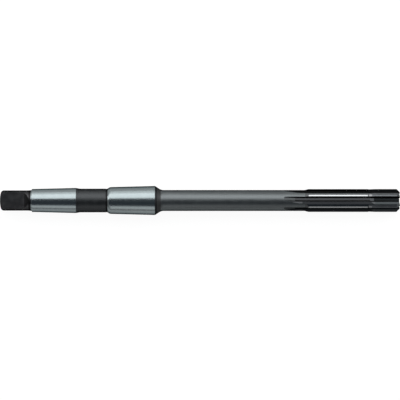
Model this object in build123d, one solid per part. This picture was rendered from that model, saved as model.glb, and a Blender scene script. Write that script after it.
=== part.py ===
from build123d import *

import math
import os

# Machine reamer with a Morse taper shank and brazed carbide tips.
# Millimetres and degrees. The tool's axis is X and the cutting end points to +X.
# The origin is on the axis, in the gauge plane of the taper.
# Places along the axis are measured from the end of the tang.

# Morse taper number 1
gauge_diameter = 12.065
gauge_place = 62.0
taper_length_per_mm = 20.047

# Tang
tang_length = 13.5
tang_diameter = 8.5
tang_thickness = 5.2
tang_flat_length = 8.5
tang_runout_radius = 5.0
tang_corner_radius = 1.4
tang_dome_radius = 12.0
tang_flare_length = 1.7
tang_flare_rise = 0.14

# Ground bands of the taper and the relieved part between them
small_edge_chamfer = 0.1
small_band_length = 18.6
small_band_ease = 1.4
relief_diameter = 9.96
relief_length = 11.1
undercut_width = 0.6
undercut_depth = 0.06
large_edge_chamfer = 1.0
large_band_end = 65.2

# Shoulder and neck
shoulder_half_angle = 33.0
shoulder_fillet = 3.0
neck_diameter = 8.8

# Cutting head
overall_length = 168.0
head_length = 39.9
head_rear_chamfer = 1.5
cutting_diameter = 9.6
steel_land_drop = 0.01
lead_length = 1.3
lead_angle = 45.0
lead_relief_angle = 15.0

# Teeth and flutes. The pitch varies against chatter, but every tooth has one opposite to it.
pitch_offsets = (2.08, -1.97, -0.11)
first_edge_angle = 22.2
land_angle = 20.0
margin_angle = 7.0
land_relief = 0.2
flute_depth = 1.35
flute_floor_width = 1.4
flute_floor_fall = 5.0
flute_root_radius = 0.4
flute_back_place = 0.4
flute_back_rise = 0.2
flute_cutter_radius = 31.5
flute_runout_start = 1.15

# Gullets: the flutes are milled deeper beside the tips
gullet_depth = 1.65
gullet_length = 10.5
gullet_cutter_radius = 8.0

# Carbide tips
tip_length = 13.2
tip_thickness = 1.4
tip_height = 2.0
tip_seat_radius = 1.2
tip_back_step = 0.12
tip_back_ramp = 2.8
tip_overhang = 0.42

# Centre holes
centre_angle = 60.0
front_centre_diameter = 3.35
front_pilot_diameter = 1.6
front_pilot_depth = 4.6
tang_centre_diameter = 2.12
tang_pilot_diameter = 1.0
tang_pilot_depth = 2.8

# How far a cutting form reaches past the metal that it cuts
overshoot = 1.0

# Places along the axis
small_band_end = tang_length + small_band_length
relief_start = small_band_end + small_band_ease
undercut_start = relief_start + relief_length
large_band_start = undercut_start + undercut_width
head_start = overall_length - head_length
tip_start = overall_length - tip_length
flute_start = head_start - flute_runout_start
gullet_start = overall_length - gullet_length
body_end = overall_length - tip_overhang

# Radii and angles
tang_radius = tang_diameter / 2
relief_radius = relief_diameter / 2
neck_radius = neck_diameter / 2
cutting_radius = cutting_diameter / 2
steel_radius = cutting_radius - steel_land_drop
tip_seat = cutting_radius - tip_height
clear_radius = cutting_diameter
tooth_count = 2 * len(pitch_offsets)
tooth_pitches = [360 / tooth_count + offset for offset in pitch_offsets] * 2
edge_angles = [first_edge_angle - sum(tooth_pitches[:tooth]) for tooth in range(tooth_count)]
lead_drop = lead_length * math.tan(math.radians(lead_angle))


def along(place):
    """X of a place that is given from the end of the tang."""
    return place - gauge_place


def taper_radius(place):
    """Radius of the Morse taper at a place."""
    return (gauge_diameter + (place - gauge_place) / taper_length_per_mm) / 2


def dome_drop(radius):
    """How far the domed end of the tang lies behind its middle at a radius."""
    return tang_dome_radius - math.sqrt(tang_dome_radius**2 - radius**2)


def corner(face, point):
    """The vertex of a face that lies at a point."""
    return face.vertices().sort_by_distance(point)[0]


def turned_blank():
    """The whole tool as it leaves the lathe and the cylindrical grinder."""
    shoulder_fall = taper_radius(large_band_end) - neck_radius
    neck_start = large_band_end + shoulder_fall / math.tan(math.radians(shoulder_half_angle))
    small_edge = tang_length + small_edge_chamfer
    large_edge = large_band_start + large_edge_chamfer
    dome_edge = (along(dome_drop(tang_radius)), tang_radius)
    neck_corner = (along(neck_start), neck_radius)
    dome_middle = (along(dome_drop(tang_radius / 2)), tang_radius / 2)
    dome = ThreePointArc((along(0), 0), dome_middle, dome_edge)
    outline = Polyline(
        dome_edge,
        (along(tang_length - tang_flare_length), tang_radius),
        (along(tang_length), tang_radius + tang_flare_rise),
        (along(tang_length), taper_radius(tang_length) - small_edge_chamfer),
        (along(small_edge), taper_radius(small_edge)),
        (along(small_band_end), taper_radius(small_band_end)),
        (along(relief_start), relief_radius),
        (along(undercut_start), relief_radius),
        (along(undercut_start), relief_radius - undercut_depth),
        (along(large_band_start), relief_radius - undercut_depth),
        (along(large_band_start), relief_radius),
        (along(large_edge), taper_radius(large_edge)),
        (along(large_band_end), taper_radius(large_band_end)),
        neck_corner,
        (along(head_start), neck_radius),
        (along(head_start + head_rear_chamfer), steel_radius),
        (along(tip_start), steel_radius),
        (along(tip_start), cutting_radius - tip_back_step),
        (along(tip_start + tip_back_ramp), cutting_radius),
        (along(overall_length - lead_length), cutting_radius),
        (along(overall_length), cutting_radius - lead_drop),
        (along(overall_length), 0),
        (along(0), 0),
    )
    face = make_face(dome + outline)
    face = fillet(corner(face, dome_edge), tang_corner_radius)
    face = fillet(corner(face, neck_corner), shoulder_fillet)
    return revolve(face, Axis.X)


def tang_flats():
    """Metal milled off both sides of the tang, with the milling cutter's round run-out."""
    flat = tang_thickness / 2
    outside = flat + tang_runout_radius
    end = along(tang_flat_length)
    side = make_face(
        Polyline(
            (end, flat),
            (along(-overshoot), flat),
            (along(-overshoot), outside),
            (end, outside),
            close=True,
        )
    )
    side += Pos(end, outside) * Circle(tang_runout_radius)
    upper = extrude(Plane.XZ * side, amount=tang_diameter, both=True)
    return [upper, Rot(X=180) * upper]


def centre_hole(end, inward, diameter, pilot_diameter, pilot_depth):
    """Centre drilling in the end face at X = end, running inward along +X (1) or -X (-1)."""
    slope = math.tan(math.radians(centre_angle / 2))
    cone_depth = (diameter - pilot_diameter) / 2 / slope
    face = make_face(
        Polyline(
            (end - inward * overshoot, 0),
            (end - inward * overshoot, diameter / 2 + overshoot * slope),
            (end + inward * cone_depth, pilot_diameter / 2),
            (end + inward * pilot_depth, pilot_diameter / 2),
            (end + inward * pilot_depth, 0),
            close=True,
        )
    )
    return revolve(face, Axis.X)


# The forms below are drawn for a tooth whose cutting face lies in the XZ plane, with its land
# on the +Y side and its flute on the -Y side, and are then copied to every tooth.
def around(form):
    """One copy of a form for each tooth."""
    return [Rot(X=-angle) * form for angle in edge_angles]


def polar(radius, angle):
    """Point of a cross section: first axis up the cutting face, second axis into the flute."""
    turn = math.radians(angle)
    return radius * math.cos(turn), radius * math.sin(turn)


def section_at(place, *points):
    """Face in the cross section plane at a place, through points given as by polar."""
    plane = Plane(origin=(along(place), 0, 0), x_dir=(0, 0, 1), z_dir=(1, 0, 0))
    return plane, make_face(Polyline(*points, close=True))


def milled_flute(pitch, depth, start, cutter_radius):
    """Space swept by a milling cutter along a flute, with its arc where it leaves the steel."""
    root = (cutting_radius - depth, 0)
    fall = math.radians(flute_floor_fall)
    valley = (root[0] - flute_floor_width * math.sin(fall), flute_floor_width * math.cos(fall))
    heel = polar(cutting_radius - land_relief, pitch - land_angle)
    climb, reach = heel[0] - valley[0], heel[1] - valley[1]
    lift = flute_back_rise / math.hypot(climb, reach)
    back = (
        valley[0] + flute_back_place * climb + lift * reach,
        valley[1] + flute_back_place * reach - lift * climb,
    )
    past_heel = (2 * heel[0] - back[0], 2 * heel[1] - back[1])
    past_back = (clear_radius, past_heel[1])
    plane, section = section_at(start, (clear_radius, 0), root, valley, back, past_heel, past_back)
    section = plane * fillet(corner(section, root), flute_root_radius)
    straight = extrude(section, amount=overall_length + overshoot - start, dir=(1, 0, 0))
    swing = math.degrees(math.acos(1 - (depth + overshoot) / cutter_radius))
    cutter_axis = Axis((along(start), 0, root[0] + cutter_radius), (0, 1, 0))
    return straight + revolve(section, cutter_axis, swing)


def flutes():
    """The flute and the gullet in front of each tooth."""
    cutters = []
    for angle, pitch in zip(edge_angles, tooth_pitches):
        flute = milled_flute(pitch, flute_depth, flute_start, flute_cutter_radius)
        gullet = milled_flute(pitch, gullet_depth, gullet_start, gullet_cutter_radius)
        cutters += [Rot(X=-angle) * flute, Rot(X=-angle) * gullet]
    return cutters


def land_cutter():
    """Sliver ground off a land behind its margin, deepest at the heel."""
    margin_end = polar(cutting_radius, -margin_angle)
    heel = polar(cutting_radius - land_relief, -land_angle)
    past_heel = ((3 * heel[0] - margin_end[0]) / 2, (3 * heel[1] - margin_end[1]) / 2)
    plane, section = section_at(
        head_start,
        margin_end,
        polar(clear_radius, -margin_angle),
        polar(clear_radius, -margin_angle - land_angle),
        past_heel,
    )
    return extrude(plane * section, amount=head_length + overshoot, dir=(1, 0, 0))


def relieved(*points):
    """Form over a tooth's width through points of its cutting face, falling back behind the edge."""
    back = (-math.tan(math.radians(lead_relief_angle)), 1, 0)
    face = Plane.XZ * make_face(Polyline(*points, close=True))
    return extrude(face, amount=tip_thickness + overshoot, dir=back, both=True)


def lead_cutter():
    """Metal ground off a tooth's lead chamfer behind its cutting edge."""
    past = overall_length + overshoot
    rise = overshoot * math.tan(math.radians(lead_angle))
    return relieved(
        (along(overall_length - lead_length - overshoot), cutting_radius + rise),
        (along(overall_length), cutting_radius - lead_drop),
        (along(past), cutting_radius - lead_drop),
        (along(past), cutting_radius + rise),
    )


def tip_front_cutter():
    """Carbide ground off a tip's front end behind its cutting edge."""
    past = overall_length + overshoot
    return relieved(
        (along(overall_length), tip_seat - overshoot),
        (along(past), tip_seat - overshoot),
        (along(past), cutting_radius),
        (along(overall_length), cutting_radius),
    )


def tip_bar(past_front):
    """Carbide bar behind a cutting face, rounded at the back to the pocket cutter's run-out."""
    back_corner = (along(tip_start), tip_seat)
    side = make_face(
        Polyline(
            back_corner,
            (along(overall_length + past_front), tip_seat),
            (along(overall_length + past_front), clear_radius),
            (along(tip_start), clear_radius),
            close=True,
        )
    )
    side = fillet(corner(side, back_corner), tip_seat_radius)
    return extrude(Plane.XZ * side, amount=tip_thickness, dir=(0, 1, 0))


blank = turned_blank()
for cutter in around(land_cutter()) + around(lead_cutter()):
    blank -= cutter

body = blank
for cutter in tang_flats() + flutes() + around(tip_bar(overshoot)):
    body -= cutter
front_plane = Plane(origin=(along(body_end), 0, 0), z_dir=(1, 0, 0))
body -= extrude(front_plane * Circle(clear_radius), amount=tip_overhang + overshoot)
body -= centre_hole(along(0), 1, tang_centre_diameter, tang_pilot_diameter, tang_pilot_depth)
body -= centre_hole(
    along(body_end), -1, front_centre_diameter, front_pilot_diameter, front_pilot_depth
)

os.makedirs("parts", exist_ok=True)
export_step(body.solid(), "parts/reamer_body.step")
tip_forms = zip(around(tip_bar(0)), around(tip_front_cutter()))
for number, (bar, front_cutter) in enumerate(tip_forms, start=1):
    tip = (blank & bar) - front_cutter
    export_step(tip.solid(), f"parts/carbide_tip_{number}.step")
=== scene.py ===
import math

import bmesh
import bpy
from mathutils import Matrix, Vector


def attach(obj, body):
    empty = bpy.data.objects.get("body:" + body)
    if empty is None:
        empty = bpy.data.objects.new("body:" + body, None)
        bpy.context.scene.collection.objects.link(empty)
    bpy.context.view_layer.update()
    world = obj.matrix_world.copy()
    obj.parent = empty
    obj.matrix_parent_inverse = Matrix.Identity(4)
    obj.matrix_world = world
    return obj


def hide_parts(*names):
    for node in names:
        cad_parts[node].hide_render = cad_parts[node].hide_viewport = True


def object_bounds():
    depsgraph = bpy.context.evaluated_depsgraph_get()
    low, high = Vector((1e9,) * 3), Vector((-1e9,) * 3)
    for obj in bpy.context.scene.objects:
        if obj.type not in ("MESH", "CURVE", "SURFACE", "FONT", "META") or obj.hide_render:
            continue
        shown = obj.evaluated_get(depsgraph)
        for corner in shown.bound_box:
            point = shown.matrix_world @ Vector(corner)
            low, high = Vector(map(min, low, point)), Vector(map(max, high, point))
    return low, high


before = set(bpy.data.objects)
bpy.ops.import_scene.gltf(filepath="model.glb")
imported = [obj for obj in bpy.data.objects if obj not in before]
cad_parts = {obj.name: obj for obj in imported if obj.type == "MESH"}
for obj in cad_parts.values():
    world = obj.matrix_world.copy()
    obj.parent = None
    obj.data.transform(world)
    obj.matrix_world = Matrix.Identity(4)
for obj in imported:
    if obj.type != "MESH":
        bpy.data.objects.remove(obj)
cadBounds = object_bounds()
scene = bpy.context.scene
scene.view_settings.view_transform = "Standard"
mm = 0.001  # pieces are drawn in millimetres and scaled once at the end
slack = 0.01  # mm, keeps a face on its own side of a border between finishes
weldReach = 0.00001  # mm, points nearer than this become one
creaseAngle = 8.0  # degrees, steeper edges stay sharp
facets = {  # into how many steps each round form is divided
    "lathe": 240, "dome": 8, "tangCorner": 12, "tangRunout": 24, "shoulder": 8, "ease": 4, "edgeBreak": 2,
    "chamfer": 6, "root": 8, "seat": 10,
}
print("frame loaded with", len(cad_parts), "nodes")


def along(place):  # X of a place measured from the end of the tang
    return place - shank["gaugePlace"]


def vertsOf(items):  # points among the items that an operator gives back
    return [item for item in items if isinstance(item, bmesh.types.BMVert)]


def lineTo(form, last, place, radius):
    point = form.verts.new((along(place), 0.0, radius))
    if last:
        form.edges.new((last, point))
    return point


def arcTo(form, last, place, radius, angle, steps):  # swings the last point about a centre, axis Y
    swept = bmesh.ops.spin(form, geom=[last], cent=(along(place), 0.0, radius), axis=(0.0, 1.0, 0.0),
                           angle=math.radians(angle), steps=steps)
    return vertsOf(swept["geom_last"])[0]


def roundCorners(form, corners, reach, segments):
    return bmesh.ops.bevel(form, geom=corners, offset=reach, offset_type="OFFSET", segments=segments,
                           profile=0.5, affect="VERTICES", material=-1, clamp_overlap=True)


def copyAround(form, angles):  # one copy of a form for each angle round the tool's axis
    first = form.verts[:] + form.edges[:] + form.faces[:]
    groups = [form.verts[:]]
    for number in range(1, len(angles)):
        copied = bmesh.ops.duplicate(form, geom=first)["geom"]
        groups.append(vertsOf(copied))
    for verts, angle in zip(groups, angles):
        bmesh.ops.rotate(form, verts=verts, cent=(0.0, 0.0, 0.0),
                         matrix=Matrix.Rotation(-math.radians(angle), 3, "X"))


def makePiece(form, name):
    bmesh.ops.recalc_face_normals(form, faces=form.faces[:])
    mesh = bpy.data.meshes.new(name)
    form.to_mesh(mesh)
    form.free()
    piece = bpy.data.objects.new(name, mesh)
    scene.collection.objects.link(piece)
    return piece


def paintFaces(form, finish):  # all faces of a cutter leave this finish behind
    for face in form.faces:
        face.material_index = finishOrder.index(finish)


def carve(piece, tool, operation="DIFFERENCE", keepTool=False):
    cut = piece.modifiers.new("cut", "BOOLEAN")
    cut.operation = operation
    cut.solver = "EXACT"
    cut.material_mode = "INDEX"
    cut.object = tool
    carved = bpy.data.meshes.new_from_object(piece.evaluated_get(bpy.context.evaluated_depsgraph_get()))
    if not carved.polygons:
        raise RuntimeError(f"nothing of {piece.name} is left after {tool.name}")
    piece.modifiers.clear()
    old = piece.data
    piece.data = carved
    bpy.data.meshes.remove(old)
    carved.name = piece.name
    if not keepTool:
        bpy.data.objects.remove(tool)


def smoothPiece(piece):
    piece.data.transform(Matrix.Scale(mm, 4))
    for face in piece.data.polygons:
        face.use_smooth = True
    piece.data.set_sharp_from_angle(angle=math.radians(creaseAngle))


# finishes of the steel body, in the order of its material slots
finishOrder = [
    "blackTang", "tangShadeRing", "groundBand", "darkRelief", "undercutShade", "darkShoulder", "lighterShoulder",
    "satinNeck", "headChamfer", "groundLand", "relievedLand", "shadedFluteFace", "litFluteFloor", "creaseShade",
    "litFluteSide", "shadedFluteBack", "litFluteRunout", "runoutEdgeHighlight", "shadedGulletFloor", "litGulletBack", "gulletRunoutHighlight",
    "tipPocket", "brazeShadeLine",
]
tipFinishOrder = ["matteCarbide", "highlightCarbide", "shadedRakeCarbide"]  # the same for each tip

# turned blank: tang, taper shank, shoulder, neck and head before milling
shank = {
    "gaugePlace": 62.0, "gaugeDiameter": 12.065, "lengthPerMm": 20.047,
    "tangLength": 13.5, "tangRadius": 4.25, "domeRadius": 12.0, "cornerRadius": 1.4,
    "flareLength": 1.7, "flareRise": 0.14, "shadeRingStart": 12.2, "shadeRingEnd": 13.18, "smallChamfer": 0.1,
    "smallBandEnd": 32.1, "brightEase": 0.0625, "reliefStart": 33.5, "reliefRadius": 4.98,
    "undercutStart": 44.6, "undercutWidth": 0.6, "undercutDepth": 0.06,
    "largeChamfer": 1.0, "chamferDark": 0.2, "chamferRound": 0.6, "largeBandEnd": 65.2,
    "shoulderAngle": 33.0, "shoulderFillet": 3.0, "shoulderDark": 0.9, "lighterFillet": 0.75, "neckRadius": 4.4,
    "edgeBreak": 0.05, "easeReach": 0.5,
}
head = {
    "start": 128.1, "end": 168.0, "bodyEnd": 167.58, "rearChamfer": 1.5,
    "steelRadius": 4.79, "cuttingRadius": 4.8,
    "tipStart": 154.8, "tipBackStep": 0.12, "tipBackRamp": 2.8, "highlightRamp": 1.3, "brazeShadeWidth": 0.43,
    "leadLength": 1.3, "leadAngle": 45.0, "leadRelief": 15.0,
}
centres = {
    "halfAngle": 30.0,
    "tangRadius": 1.06, "tangPilotRadius": 0.5, "tangPilotDepth": 2.8,
    "frontRadius": 1.675, "frontPilotRadius": 0.8, "frontPilotDepth": 4.6,
}


def taperRadius(place):
    return (shank["gaugeDiameter"] + along(place) / shank["lengthPerMm"]) / 2


def turnBlank():
    form = bmesh.new()
    slope = math.tan(math.radians(centres["halfAngle"]))
    dome, cornerRound, tangRadius = shank["domeRadius"], shank["cornerRadius"], shank["tangRadius"]
    # centre hole of the tang, from its pilot hole out to the domed end
    coneDepth = (centres["tangRadius"] - centres["tangPilotRadius"]) / slope
    rimDrop = dome - math.sqrt(dome ** 2 - centres["tangRadius"] ** 2)
    rim = centres["tangRadius"] - rimDrop * slope
    pen = lineTo(form, None, centres["tangPilotDepth"], 0.0)
    pen = lineTo(form, pen, centres["tangPilotDepth"], centres["tangPilotRadius"])
    pen = lineTo(form, pen, coneDepth, centres["tangPilotRadius"])
    pen = lineTo(form, pen, dome - math.sqrt(dome ** 2 - rim ** 2), rim)
    # domed end and its rounded corner
    cornerReach = tangRadius - cornerRound
    cornerTilt = math.degrees(math.asin(cornerReach / (dome - cornerRound)))
    cornerPlace = dome - (dome - cornerRound) * math.cos(math.radians(cornerTilt))
    pen = arcTo(form, pen, dome, 0.0, cornerTilt - math.degrees(math.asin(rim / dome)), facets["dome"])
    pen = arcTo(form, pen, cornerPlace, cornerReach, 90.0 - cornerTilt, facets["tangCorner"])
    # tang and small band
    sharp, eased = [], []
    tangEnd, smallEdge = shank["tangLength"], shank["tangLength"] + shank["smallChamfer"]
    pen = lineTo(form, pen, tangEnd - shank["flareLength"], tangRadius)
    for place in (shank["shadeRingStart"], shank["shadeRingEnd"]):
        flareShare = 1.0 - (tangEnd - place) / shank["flareLength"]
        pen = lineTo(form, pen, place, tangRadius + shank["flareRise"] * flareShare)
    pen = lineTo(form, pen, tangEnd, tangRadius + shank["flareRise"])
    pen = lineTo(form, pen, tangEnd, taperRadius(tangEnd) - shank["smallChamfer"])
    sharp.append(pen)
    pen = lineTo(form, pen, smallEdge, taperRadius(smallEdge))
    sharp.append(pen)
    pen = lineTo(form, pen, shank["smallBandEnd"], taperRadius(shank["smallBandEnd"]))
    eased.append(pen)
    # relieved middle with its undercut
    pen = lineTo(form, pen, shank["reliefStart"], shank["reliefRadius"])
    eased.append(pen)
    undercutEnd = shank["undercutStart"] + shank["undercutWidth"]
    undercutRadius = shank["reliefRadius"] - shank["undercutDepth"]
    pen = lineTo(form, pen, shank["undercutStart"], shank["reliefRadius"])
    pen = lineTo(form, pen, shank["undercutStart"], undercutRadius)
    pen = lineTo(form, pen, undercutEnd, undercutRadius)
    pen = lineTo(form, pen, undercutEnd, shank["reliefRadius"])
    # large band, shoulder cone and neck
    largeEdge = undercutEnd + shank["largeChamfer"]
    chamferRise = taperRadius(largeEdge) - shank["reliefRadius"]
    brightStart = undercutEnd + shank["chamferDark"]
    pen = lineTo(form, pen, brightStart,
                 shank["reliefRadius"] + chamferRise * shank["chamferDark"] / shank["largeChamfer"])
    pen = lineTo(form, pen, largeEdge, taperRadius(largeEdge))
    chamferCorner = pen
    pen = lineTo(form, pen, shank["largeBandEnd"], taperRadius(shank["largeBandEnd"]))
    sharp.append(pen)
    fall = taperRadius(shank["largeBandEnd"]) - shank["neckRadius"]
    shoulderSlope = math.tan(math.radians(shank["shoulderAngle"]))
    neckStart = shank["largeBandEnd"] + fall / shoulderSlope
    fadeStart = shank["largeBandEnd"] + shank["shoulderDark"]
    pen = lineTo(form, pen, fadeStart, shank["neckRadius"] + (neckStart - fadeStart) * shoulderSlope)
    pen = lineTo(form, pen, neckStart, shank["neckRadius"])
    neckCorner = pen
    # head
    end, lead = head["end"], head["leadLength"]
    leadDrop = lead * math.tan(math.radians(head["leadAngle"]))
    pen = lineTo(form, pen, head["start"], shank["neckRadius"])
    pen = lineTo(form, pen, head["start"] + head["rearChamfer"], head["steelRadius"])
    brazeShadeStart = head["tipStart"] - head["brazeShadeWidth"]
    pen = lineTo(form, pen, brazeShadeStart, head["steelRadius"])
    pen = lineTo(form, pen, head["tipStart"], head["steelRadius"])
    pen = lineTo(form, pen, head["tipStart"], head["cuttingRadius"] - head["tipBackStep"])
    rampShare = 1.0 - head["highlightRamp"] / head["tipBackRamp"]
    pen = lineTo(form, pen, head["tipStart"] + head["highlightRamp"],
                 head["cuttingRadius"] - head["tipBackStep"] * rampShare)
    pen = lineTo(form, pen, head["tipStart"] + head["tipBackRamp"], head["cuttingRadius"])
    pen = lineTo(form, pen, end - lead, head["cuttingRadius"])
    pen = lineTo(form, pen, end, head["cuttingRadius"] - leadDrop)
    # centre hole of the front, which starts in the end of the steel behind the ends of the tips
    coneDepth = (centres["frontRadius"] - centres["frontPilotRadius"]) / slope
    bodyEnd = head["bodyEnd"]
    pen = lineTo(form, pen, end, centres["frontRadius"] + (end - bodyEnd) * slope)
    pen = lineTo(form, pen, bodyEnd - coneDepth, centres["frontPilotRadius"])
    pen = lineTo(form, pen, bodyEnd - centres["frontPilotDepth"], centres["frontPilotRadius"])
    lineTo(form, pen, bodyEnd - centres["frontPilotDepth"], 0.0)

    filletReach = shank["shoulderFillet"] * math.tan(math.radians(shank["shoulderAngle"] / 2))
    roundCorners(form, [neckCorner], filletReach, facets["shoulder"])
    roundCorners(form, eased, shank["easeReach"], facets["ease"])
    roundCorners(form, sharp, shank["edgeBreak"], facets["edgeBreak"])
    roundCorners(form, [chamferCorner], shank["chamferRound"], facets["chamfer"])
    bmesh.ops.spin(form, geom=form.verts[:] + form.edges[:], cent=(0.0, 0.0, 0.0), axis=(1.0, 0.0, 0.0),
                   angle=math.radians(360.0), steps=facets["lathe"], use_merge=True)
    bmesh.ops.remove_doubles(form, verts=form.verts[:], dist=weldReach)
    fadeReach = filletReach * (1.0 - shank["lighterFillet"])
    # zone borders along the axis; the tang's dark ring on its flare is painted shade
    zoneEnds = [(shank["shadeRingStart"], "blackTang"), (shank["shadeRingEnd"], "tangShadeRing"),
                (shank["smallBandEnd"] + shank["brightEase"], "groundBand"),
                # painted shade in the undercut groove
                (shank["undercutStart"] - slack, "darkRelief"), (undercutEnd + slack, "undercutShade"),
                (brightStart, "darkRelief"), (shank["largeBandEnd"], "groundBand"),
                # the shoulder is darker next to the band and lighter toward the neck
                (fadeStart, "darkShoulder"), (neckStart - fadeReach, "lighterShoulder"),
                (head["start"] + slack, "satinNeck"),
                (head["start"] + head["rearChamfer"] - slack, "headChamfer"), (brazeShadeStart, "groundLand"),
                # dark braze joint behind each tip, with painted shade at the step down to the tip
                (head["tipStart"] - slack, "brazeShadeLine"), (end + slack, "groundLand")]
    for face in form.faces:
        place = face.calc_center_median().x + shank["gaugePlace"]
        finish = next(name for limit, name in zoneEnds if place < limit)
        face.material_index = finishOrder.index(finish)
    return makePiece(form, "reamerBody")


# milled and ground forms of the head, drawn with the cutting face upright in the XZ plane
teeth = {
    "pitchOffsets": (2.08, -1.97, -0.11), "firstEdge": 22.2, "landAngle": 20.0, "marginAngle": 7.0,
    "landRelief": 0.2, "floorWidth": 1.4, "floorFall": 5.0, "rootRadius": 0.4, "faceInRoot": 0.28,
    "creaseWidth": 0.17,
    "backPlace": 0.4, "backRise": 0.2, "clearRadius": 9.6, "overshoot": 1.0,
}
flute = {"depth": 1.35, "start": 126.95, "cutterRadius": 31.5, "steps": 32, "faceShift": 0.0,
         "floor": "litFluteFloor", "back": "shadedFluteBack", "runout": "litFluteRunout",
         "runoutEdgeHighlight": "runoutEdgeHighlight", "runoutPlace": 124.0}
gullet = {"depth": 1.65, "start": 157.5, "cutterRadius": 8.0, "steps": 24, "faceShift": 0.004,
          "floor": "shadedGulletFloor", "back": "litGulletBack", "runout": "gulletRunoutHighlight",
          "runoutEdgeHighlight": "gulletRunoutHighlight", "runoutPlace": 157.0}
tip = {"thickness": 1.4, "seat": 2.8, "seatRadius": 1.2, "seam": 0.02, "rakeLimit": 0.99}
pairCount = len(teeth["pitchOffsets"])  # each tooth has one opposite to it
toothPitches = [180.0 / pairCount + offset for offset in teeth["pitchOffsets"]] * 2
edgeAngles = [teeth["firstEdge"] - sum(toothPitches[:number]) for number in range(2 * pairCount)]


def sectionPoint(form, place, radius, angle):  # angle counts from the cutting face into the flute
    turn = math.radians(angle)
    return form.verts.new((along(place), -radius * math.sin(turn), radius * math.cos(turn)))


def extrudeFace(form, face, move):
    grown = bmesh.ops.extrude_face_region(form, geom=[face])["geom"]
    bmesh.ops.translate(form, vec=move, verts=vertsOf(grown))


def makeLandCutter():  # sliver ground off each land behind its margin
    form = bmesh.new()
    past = teeth["landAngle"] + teeth["marginAngle"]
    margin = sectionPoint(form, head["start"], head["cuttingRadius"], -teeth["marginAngle"])
    outer = [sectionPoint(form, head["start"], teeth["clearRadius"], -angle)
             for angle in (teeth["marginAngle"], past)]
    heel = sectionPoint(form, head["start"], head["cuttingRadius"] - teeth["landRelief"], -teeth["landAngle"])
    heel.co += (heel.co - margin.co) / 2  # runs on past the land
    extrudeFace(form, form.faces.new([margin, *outer, heel]),
                (head["end"] + teeth["overshoot"] - head["start"], 0.0, 0.0))
    copyAround(form, edgeAngles)
    paintFaces(form, "relievedLand")
    return makePiece(form, "landCutter")


def makeFluteCutter(pair, cut):  # swept space of the milling cutter in two opposite flutes
    form = bmesh.new()
    start, rootRadius = cut["start"], head["cuttingRadius"] - cut["depth"]
    fall, floorWidth = math.radians(teeth["floorFall"]), teeth["floorWidth"]
    root = sectionPoint(form, start, rootRadius, 0.0)
    valley = form.verts.new(root.co + Vector((0.0, -math.cos(fall), -math.sin(fall))) * floorWidth)
    heel = sectionPoint(form, start, head["cuttingRadius"] - teeth["landRelief"],
                        toothPitches[pair] - teeth["landAngle"])
    climb = heel.co - valley.co
    outward = Vector((0.0, -climb.z, climb.y)).normalized()
    back = form.verts.new(valley.co + climb * teeth["backPlace"] - outward * teeth["backRise"])
    creaseFront = form.verts.new(valley.co.lerp(root.co, teeth["creaseWidth"] / floorWidth))
    creaseBack = form.verts.new(valley.co + (back.co - valley.co).normalized() * teeth["creaseWidth"])
    heel.co += heel.co - back.co  # runs on past the land
    outer = [form.verts.new((along(start), y, teeth["clearRadius"])) for y in (heel.co.y, 0.0)]
    floorStart, floorEnd = teeth["faceInRoot"], -creaseFront.co.y  # distances from the cutting face
    sideStart, backStart = -creaseBack.co.y, -back.co.y
    form.faces.new([root, creaseFront, valley, creaseBack, back, heel, *outer])
    roundCorners(form, [root], teeth["rootRadius"], facets["root"])
    extrudeFace(form, form.faces[:][0], (head["end"] + teeth["overshoot"] - start, 0.0, 0.0))
    first = [face for face in form.faces if all(abs(v.co.x - along(start)) < slack for v in face.verts)]
    swing = math.acos(1.0 - (cut["depth"] + teeth["overshoot"]) / cut["cutterRadius"])
    bmesh.ops.spin(form, geom=first, cent=(along(start), 0.0, rootRadius + cut["cutterRadius"]),
                   axis=(0.0, 1.0, 0.0), angle=swing, steps=cut["steps"])
    bmesh.ops.delete(form, geom=first, context="FACES_ONLY")  # wall between the straight part and the run-out
    # each facet's tone paints light and shade: cutting face and crease near black as painted shade, the other
    # facets lighter or darker as they face the lamps, the run-out and its edge lighter as painted highlight
    zones = [(floorStart, "shadedFluteFace"), (floorEnd, cut["floor"]), (sideStart, "creaseShade"),
             (backStart, "litFluteSide"), (math.inf, cut["back"])]
    for face in form.faces:
        centre = face.calc_center_median()
        finish = next(name for limit, name in zones if -centre.y < limit)
        if centre.x < along(cut["runoutPlace"]) and -centre.y > floorStart:
            finish = cut["runout"]
        if centre.x < along(start) and -centre.y > backStart:
            finish = cut["runoutEdgeHighlight"]
        face.material_index = finishOrder.index(finish)
    bmesh.ops.translate(form, vec=(0.0, cut["faceShift"], 0.0), verts=form.verts[:])
    copyAround(form, edgeAngles[pair::pairCount])
    return makePiece(form, "fluteCutter")


def makeRelieved(points, angles, finish):  # drawn on the cutting face, falls back behind the edge
    form = bmesh.new()
    form.faces.new([form.verts.new((along(place), 0.0, radius)) for place, radius in points])
    reach = tip["thickness"] + teeth["overshoot"]
    back = Vector((-math.tan(math.radians(head["leadRelief"])), 1.0, 0.0)) * reach
    bmesh.ops.translate(form, vec=-back, verts=form.verts[:])
    extrudeFace(form, form.faces[:][0], 2.0 * back)
    paintFaces(form, finish)
    copyAround(form, angles)
    return makePiece(form, "relievedCutter")


def makeLeadCutter(pair):  # metal ground off the lead chamfer of two opposite teeth
    past, slope = teeth["overshoot"], math.tan(math.radians(head["leadAngle"]))
    end, radius = head["end"], head["cuttingRadius"]
    low, high = radius - head["leadLength"] * slope, radius + past * slope
    points = [(end - head["leadLength"] - past, high), (end, low), (end + past, low), (end + past, high)]
    return makeRelieved(points, edgeAngles[pair::pairCount], "relievedLand")


def makeTipFrontCutter(angle):  # carbide ground off a tip's front end
    end, past = head["end"], teeth["overshoot"]
    low, high = tip["seat"] - past, head["cuttingRadius"]
    points = [(end, low), (end + past, low), (end + past, high), (end, high)]
    return makeRelieved(points, [angle], "tipPocket")


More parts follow.
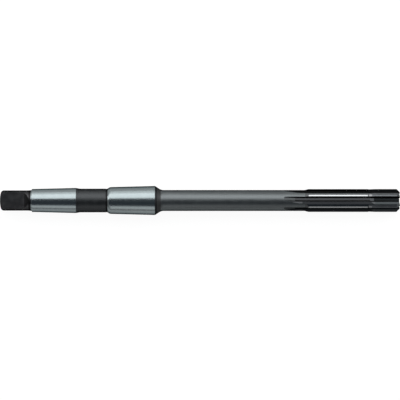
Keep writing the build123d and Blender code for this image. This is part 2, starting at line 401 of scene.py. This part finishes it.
def makeFrontCutter():  # steel faced off between the ends of the tips
    form = bmesh.new()
    depth = head["end"] - head["bodyEnd"] + teeth["overshoot"]
    bmesh.ops.create_cone(form, cap_ends=True, segments=facets["lathe"], radius1=teeth["clearRadius"],
                          radius2=teeth["clearRadius"], depth=depth)
    bmesh.ops.rotate(form, verts=form.verts[:], cent=(0.0, 0.0, 0.0),
                     matrix=Matrix.Rotation(math.radians(90.0), 3, "Y"))
    bmesh.ops.translate(form, vec=(along(head["bodyEnd"]) + depth / 2, 0.0, 0.0), verts=form.verts[:])
    paintFaces(form, "relievedLand")
    return makePiece(form, "frontCutter")


def makeTipBar(seam, pastFront):  # bar behind one cutting face, round at the back of its seat
    form = bmesh.new()
    back, front = along(head["tipStart"]) - seam, along(head["end"]) + pastFront
    seat = tip["seat"] - seam
    corners = [form.verts.new((x, -seam, z)) for x, z in
               ((back, seat), (front, seat), (front, teeth["clearRadius"]), (back, teeth["clearRadius"]))]
    form.faces.new(corners)
    roundCorners(form, corners[:1], tip["seatRadius"], facets["seat"])
    extrudeFace(form, form.faces[:][0], (0.0, tip["thickness"] + 2 * seam, 0.0))
    return form


tang = {"flat": 2.6, "flatLength": 8.5, "runoutRadius": 5.0, "shadedRunout": 10.5, "reach": 6.0}


def makeTangCutter():  # both flats with the milling cutter's round run-out
    form = bmesh.new()
    flat, radius = tang["flat"], tang["runoutRadius"]
    pen = lineTo(form, None, -teeth["overshoot"], flat + radius)
    pen = lineTo(form, pen, -teeth["overshoot"], flat)
    pen = lineTo(form, pen, tang["flatLength"], flat)
    arcTo(form, pen, tang["flatLength"], flat + radius, -90.0, facets["tangRunout"])
    bmesh.ops.contextual_create(form, geom=form.edges[:])
    bmesh.ops.translate(form, vec=(0.0, -tang["reach"], 0.0), verts=form.verts[:])
    extrudeFace(form, form.faces[:][0], (0.0, 2 * tang["reach"], 0.0))
    copyAround(form, [0.0, 180.0])
    # the far end of the run-out takes the tang's dark ring colour, painted shade
    for face in form.faces:
        shadedRunout = face.calc_center_median().x > along(tang["shadedRunout"])
        face.material_index = finishOrder.index("tangShadeRing" if shadedRunout else "blackTang")
    return makePiece(form, "tangCutter")


body = turnBlank()
carve(body, makeLandCutter())
for pair in range(pairCount):
    carve(body, makeLeadCutter(pair))
print("blank turned,", len(body.data.polygons), "faces")

tips = []
highlightEnd = along(head["tipStart"] + head["highlightRamp"])
for number, angle in enumerate(edgeAngles, start=1):
    form = makeTipBar(0.0, 0.0)
    copyAround(form, [angle])
    piece = makePiece(form, f"carbideTip{number}")
    carve(piece, body, "INTERSECT", keepTool=True)
    carve(piece, makeTipFrontCutter(angle))
    rakeNormal = Matrix.Rotation(-math.radians(angle), 3, "X") @ Vector((0.0, -1.0, 0.0))
    for face in piece.data.polygons:
        finish = "matteCarbide"
        outside = math.hypot(face.center.y, face.center.z) > head["cuttingRadius"] - 2 * head["tipBackStep"]
        if outside and face.center.x < highlightEnd:
            finish = "highlightCarbide"  # ramp at the back of the land, smoother, with a painted highlight in its lighter colour
        if face.normal.dot(rakeNormal) > tip["rakeLimit"]:
            finish = "shadedRakeCarbide"  # cutting face, painted dark as shade
        face.material_index = tipFinishOrder.index(finish)
    smoothPiece(piece)
    tips.append(piece)
print("tips ground,", len(tips[0].data.polygons), "faces each")

for cut in (flute, gullet):
    for pair in range(pairCount):
        carve(body, makeFluteCutter(pair, cut))
for pair in range(pairCount):
    pocketForm = makeTipBar(tip["seam"], teeth["overshoot"])
    paintFaces(pocketForm, "tipPocket")
    copyAround(pocketForm, edgeAngles[pair::pairCount])
    carve(body, makePiece(pocketForm, "pocketCutter"))
carve(body, makeFrontCutter())
carve(body, makeTangCutter())
smoothPiece(body)
print("body milled,", len(body.data.polygons), "faces")

noiseLow, noiseHigh = 0.3, 0.7  # the noise mostly stays between these


def makeFinish(name, look):
    material = bpy.data.materials.new(name)
    material.use_nodes = True
    nodes, links = material.node_tree.nodes, material.node_tree.links
    shader = nodes["Principled BSDF"]
    shader.inputs["Metallic"].default_value = look["metallic"]
    shader.inputs["Specular Tint"].default_value = (*look["edgeTint"], 1.0)
    coords = nodes.new("ShaderNodeTexCoord")
    split = nodes.new("ShaderNodeSeparateXYZ")
    links.new(coords.outputs["Object"], split.inputs[0])

    rings = nodes.new("ShaderNodeTexNoise")  # turning or grinding marks run round the axis
    rings.noise_dimensions = "1D"
    rings.inputs["Scale"].default_value = look["ringScale"]
    rings.inputs["Detail"].default_value = look["ringDetail"]
    links.new(split.outputs["X"], rings.inputs["W"])
    mottle = nodes.new("ShaderNodeTexNoise")
    mottle.inputs["Scale"].default_value = look["mottleScale"]
    mottle.inputs["Detail"].default_value = look["mottleDetail"]
    stretch = nodes.new("ShaderNodeMapping")
    stretch.inputs["Scale"].default_value = look["mottleStretch"]
    links.new(coords.outputs["Object"], stretch.inputs["Vector"])
    links.new(stretch.outputs["Vector"], mottle.inputs["Vector"])

    tone = nodes.new("ShaderNodeMix")
    tone.data_type = "RGBA"
    tone.inputs["A"].default_value = (*look["dark"], 1.0)
    tone.inputs["B"].default_value = (*look["light"], 1.0)
    blendMarks = nodes.new("ShaderNodeMath")
    blendMarks.operation = "MULTIPLY_ADD"
    blendMarks.inputs[1].default_value = look["ringTone"]
    links.new(rings.outputs["Fac"], blendMarks.inputs[0])
    links.new(mottle.outputs["Fac"], blendMarks.inputs[2])
    centreMarks = nodes.new("ShaderNodeMapRange")
    centreMarks.inputs["From Min"].default_value = noiseLow * (1.0 + look["ringTone"])
    centreMarks.inputs["From Max"].default_value = noiseHigh * (1.0 + look["ringTone"])
    links.new(blendMarks.outputs[0], centreMarks.inputs["Value"])
    links.new(centreMarks.outputs["Result"], tone.inputs["Factor"])
    links.new(tone.outputs["Result"], shader.inputs["Base Color"])

    gloss = nodes.new("ShaderNodeMapRange")
    gloss.inputs["From Min"].default_value = noiseLow
    gloss.inputs["From Max"].default_value = noiseHigh
    gloss.inputs["To Min"].default_value = look["roughness"] - look["roughnessSpread"]
    gloss.inputs["To Max"].default_value = look["roughness"] + look["roughnessSpread"]
    links.new(mottle.outputs["Fac"], gloss.inputs["Value"])
    links.new(gloss.outputs["Result"], shader.inputs["Roughness"])

    bump = nodes.new("ShaderNodeBump")
    bump.inputs["Strength"].default_value = look["bumpStrength"]
    bump.inputs["Distance"].default_value = look["bumpDepth"] * mm
    links.new(blendMarks.outputs[0], bump.inputs["Height"])
    links.new(bump.outputs["Normal"], shader.inputs["Normal"])
    return material


steelBase = {
    "metallic": 1.0, "edgeTint": (0.0, 0.0, 0.0), "ringScale": 3000.0, "ringDetail": 4.0, "ringTone": 0.6,
    "mottleScale": 400.0, "mottleDetail": 5.0, "mottleStretch": (1.0, 1.0, 1.0), "roughnessSpread": 0.03,
    "bumpStrength": 0.3, "bumpDepth": 0.003,
}
alongMarks = {"ringTone": 0.0, "mottleStretch": (0.08, 1.0, 1.0)}  # milling marks run along the flutes
finishLooks = {
    "blackTang": {"dark": (0.034, 0.034, 0.036), "light": (0.051, 0.051, 0.053), "roughness": 0.42,
                  "ringTone": 0.0},
    # painted shade: dark ring on the tang's flare and on the far end of the flats' run-out
    "tangShadeRing": {"dark": (0.0124, 0.0124, 0.0131), "light": (0.0207, 0.0207, 0.0214), "roughness": 0.45},
    "groundBand": {"dark": (0.192, 0.219, 0.225), "light": (0.210, 0.240, 0.246), "roughness": 0.26,
                   "bumpDepth": 0.0001, "roughnessSpread": 0.006},
    "darkRelief": {"dark": (0.037, 0.039, 0.041), "light": (0.048, 0.051, 0.053), "roughness": 0.46},
    # painted shade: the undercut groove is much darker than the relief around it
    "undercutShade": {"dark": (0.0110, 0.0110, 0.0117), "light": (0.0166, 0.0166, 0.0179), "roughness": 0.50},
    # the shoulder is painted darker next to the band and lighter toward the neck
    "darkShoulder": {"dark": (0.0234, 0.0248, 0.0262), "light": (0.032, 0.033, 0.034), "roughness": 0.55},
    "lighterShoulder": {"dark": (0.046, 0.047, 0.048), "light": (0.061, 0.062, 0.063), "roughness": 0.55},
    "satinNeck": {"dark": (0.093, 0.101, 0.104), "light": (0.111, 0.122, 0.125), "roughness": 0.43,
                  "bumpDepth": 0.0008},
    "headChamfer": {"dark": (0.057, 0.059, 0.061), "light": (0.073, 0.076, 0.079), "roughness": 0.40},
    "groundLand": {"dark": (0.275, 0.284, 0.291), "light": (0.307, 0.318, 0.322), "roughness": 0.22,
                   "bumpDepth": 0.0002},
    "relievedLand": {"dark": (0.097, 0.103, 0.108), "light": (0.121, 0.130, 0.134), "roughness": 0.22,
                     "bumpDepth": 0.0002},
    # painted shade: the cutting face and the start of the root are near black
    "shadedFluteFace": {**alongMarks, "dark": (0.0041, 0.0041, 0.0041), "light": (0.0069, 0.0069, 0.0069),
                  "roughness": 0.40},
    # one milled oxide painted lighter and darker by facet: floor, side and run-out lighter as painted light,
    # back darker as painted shade
    "litFluteFloor": {**alongMarks, "dark": (0.0234, 0.0241, 0.0255), "light": (0.033, 0.034, 0.036),
                   "roughness": 0.32},
    # painted shade along the crease between floor and back
    "creaseShade": {**alongMarks, "dark": (0.0041, 0.0041, 0.0041), "light": (0.0076, 0.0076, 0.0076),
                    "roughness": 0.45},
    "shadedFluteBack": {**alongMarks, "dark": (0.0117, 0.0124, 0.0138), "light": (0.0172, 0.0186, 0.0200),
                  "roughness": 0.34},
    # painted highlight on the edge of the flute's run-out
    "runoutEdgeHighlight": {**alongMarks, "dark": (0.036, 0.038, 0.040), "light": (0.050, 0.052, 0.055),
                   "roughness": 0.36},
    "litFluteSide": {**alongMarks, "dark": (0.030, 0.032, 0.034), "light": (0.040, 0.042, 0.045),
                  "roughness": 0.36},
    "litFluteRunout": {**alongMarks, "dark": (0.034, 0.037, 0.038), "light": (0.047, 0.050, 0.052),
                    "roughness": 0.36},
    # painted light and shade in the gullet: floor darker as painted shade, back and run-out lighter as
    # painted light
    "gulletRunoutHighlight": {**alongMarks, "dark": (0.036, 0.038, 0.040), "light": (0.048, 0.051, 0.054),
                     "roughness": 0.36},
    "shadedGulletFloor": {**alongMarks, "dark": (0.0057, 0.0066, 0.0072), "light": (0.0090, 0.0104, 0.0113),
                    "roughness": 0.36},
    "litGulletBack": {**alongMarks, "dark": (0.026, 0.030, 0.031), "light": (0.036, 0.040, 0.042),
                   "roughness": 0.36},
    "tipPocket": {"dark": (0.0207, 0.0207, 0.0207), "light": (0.031, 0.031, 0.031), "roughness": 0.5,
                  "ringTone": 0.0},
    # dark braze joint, with painted shade at the step behind the tip
    "brazeShadeLine": {"dark": (0.038, 0.039, 0.041), "light": (0.059, 0.061, 0.063), "roughness": 0.45,
                  "ringTone": 0.0},
}
tipLooks = {
    "matteCarbide": {"dark": (0.080, 0.086, 0.091), "light": (0.105, 0.112, 0.119),
                     "roughness": 0.48, "ringTone": 0.0},
    # painted highlight: the ramp behind the land is lighter than the rest of the carbide
    "highlightCarbide": {"dark": (0.154, 0.157, 0.161), "light": (0.183, 0.187, 0.192),
                      "roughness": 0.34, "ringTone": 0.0},
    # painted shade: the carbide's cutting face is near black
    "shadedRakeCarbide": {"dark": (0.017, 0.018, 0.019), "light": (0.025, 0.026, 0.027),
                    "roughness": 0.44, "ringTone": 0.0},
}

for name in finishOrder:
    body.data.materials.append(makeFinish(name, {**steelBase, **finishLooks[name]}))
for name in tipFinishOrder:
    carbide = makeFinish(name, {**steelBase, **tipLooks[name]})
    for piece in tips:
        piece.data.materials.append(carbide)
print("finishes made:", len(bpy.data.materials))

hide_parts("reamer_body")
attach(body, "root")
for number, piece in enumerate(tips, start=1):
    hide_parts(f"carbide_tip_{number}")
    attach(piece, "root")

floorLook = {"size": 8.0, "colour": (0.09, 0.09, 0.09), "glow": 0.95, "wallRadius": 3.5, "wallHeight": 2.4,
             "wallSegments": 96, "wallGlow": 0.32, "world": (0.064, 0.080, 0.099)}


def makePale(name, glow):  # pale to the eye and in reflections, but no extra light on the object
    material = bpy.data.materials.new(name)
    material.use_nodes = True
    nodes, links = material.node_tree.nodes, material.node_tree.links
    shader = nodes["Principled BSDF"]
    shader.inputs["Base Color"].default_value = (*floorLook["colour"], 1.0)
    shader.inputs["Roughness"].default_value = 1.0
    shader.inputs["Specular IOR Level"].default_value = 0.0
    shader.inputs["Emission Color"].default_value = (1.0, 1.0, 1.0, 1.0)
    path = nodes.new("ShaderNodeLightPath")
    seen = nodes.new("ShaderNodeMath")
    seen.operation = "ADD"
    links.new(path.outputs["Is Camera Ray"], seen.inputs[0])
    links.new(path.outputs["Is Glossy Ray"], seen.inputs[1])
    through = nodes.new("ShaderNodeMath")
    through.operation = "ADD"
    through.use_clamp = True
    links.new(seen.outputs[0], through.inputs[0])
    links.new(path.outputs["Is Transmission Ray"], through.inputs[1])
    strength = nodes.new("ShaderNodeMath")
    strength.operation = "MULTIPLY"
    strength.inputs[1].default_value = glow
    links.new(through.outputs[0], strength.inputs[0])
    links.new(strength.outputs[0], shader.inputs["Emission Strength"])
    return material


floorForm = bmesh.new()
bmesh.ops.create_grid(floorForm, x_segments=1, y_segments=1, size=floorLook["size"] / 2)
bmesh.ops.translate(floorForm, vec=(0.0, 0.0, cadBounds[0][2]), verts=floorForm.verts[:])
floor = makePiece(floorForm, "paleFloor")
floor.data.materials.append(makePale("palePaper", floorLook["glow"]))

wallForm = bmesh.new()
bmesh.ops.create_cone(wallForm, cap_ends=False, segments=floorLook["wallSegments"],
                      radius1=floorLook["wallRadius"], radius2=floorLook["wallRadius"],
                      depth=floorLook["wallHeight"])
bmesh.ops.translate(wallForm, vec=(0.0, 0.0, cadBounds[0][2] + floorLook["wallHeight"] / 2),
                    verts=wallForm.verts[:])
wall = makePiece(wallForm, "paleWall")
wall.data.materials.append(makePale("paleCloth", floorLook["wallGlow"]))

world = bpy.data.worlds.new("dimRoom")
world.use_nodes = True
world.node_tree.nodes["Background"].inputs["Color"].default_value = (*floorLook["world"], 1.0)
scene.world = world

lamps = [  # the two near ones light the shank more than the neck
    {"name": "mainSoftbox", "centreX": 22.0, "tilt": 40.9, "distance": 0.75,
     "width": 0.63, "length": 4.4, "radiance": 3.12},
    {"name": "lowStrip", "centreX": 22.0, "tilt": 75.0, "distance": 1.1,
     "width": 0.44, "length": 0.6, "radiance": 0.55},
    {"name": "fillSoftbox", "centreX": 22.0, "tilt": -61.5, "distance": 1.0,
     "width": 0.50, "length": 0.6, "radiance": 0.58},
    {"name": "shankStrip", "centreX": -65.0, "tilt": 75.0, "distance": 0.15,
     "width": 0.060, "length": 0.17, "radiance": 1.14},
    {"name": "shankFill", "centreX": -65.0, "tilt": -61.5, "distance": 0.15,
     "width": 0.075, "length": 0.17, "radiance": 0.49},
]
for lamp in lamps:  # tilt counts from straight above towards the top of the picture
    light = bpy.data.lights.new(lamp["name"], "AREA")
    light.shape = "RECTANGLE"
    light.size, light.size_y = lamp["length"], lamp["width"]
    light.energy = lamp["radiance"] * math.pi * lamp["length"] * lamp["width"]
    lampObject = bpy.data.objects.new(lamp["name"], light)
    tilt, distance = math.radians(lamp["tilt"]), lamp["distance"]
    lampObject.location = (lamp["centreX"] * mm, math.sin(tilt) * distance, math.cos(tilt) * distance)
    lampObject.rotation_euler = (-tilt, 0.0, 0.0)
    lampObject.visible_camera = False
    scene.collection.objects.link(lampObject)

view = {"height": 1.2, "across": 168.04, "centreX": 22.1, "centreY": 0.21, "sensor": 36.0}
camera = bpy.data.cameras.new("topView")
camera.sensor_width = view["sensor"]
camera.lens = view["sensor"] * view["height"] / (view["across"] * mm)
cameraObject = bpy.data.objects.new("topView", camera)
cameraObject.location = (view["centreX"] * mm, view["centreY"] * mm, view["height"])
scene.collection.objects.link(cameraObject)
scene.camera = cameraObject
print("floor, light and camera set")
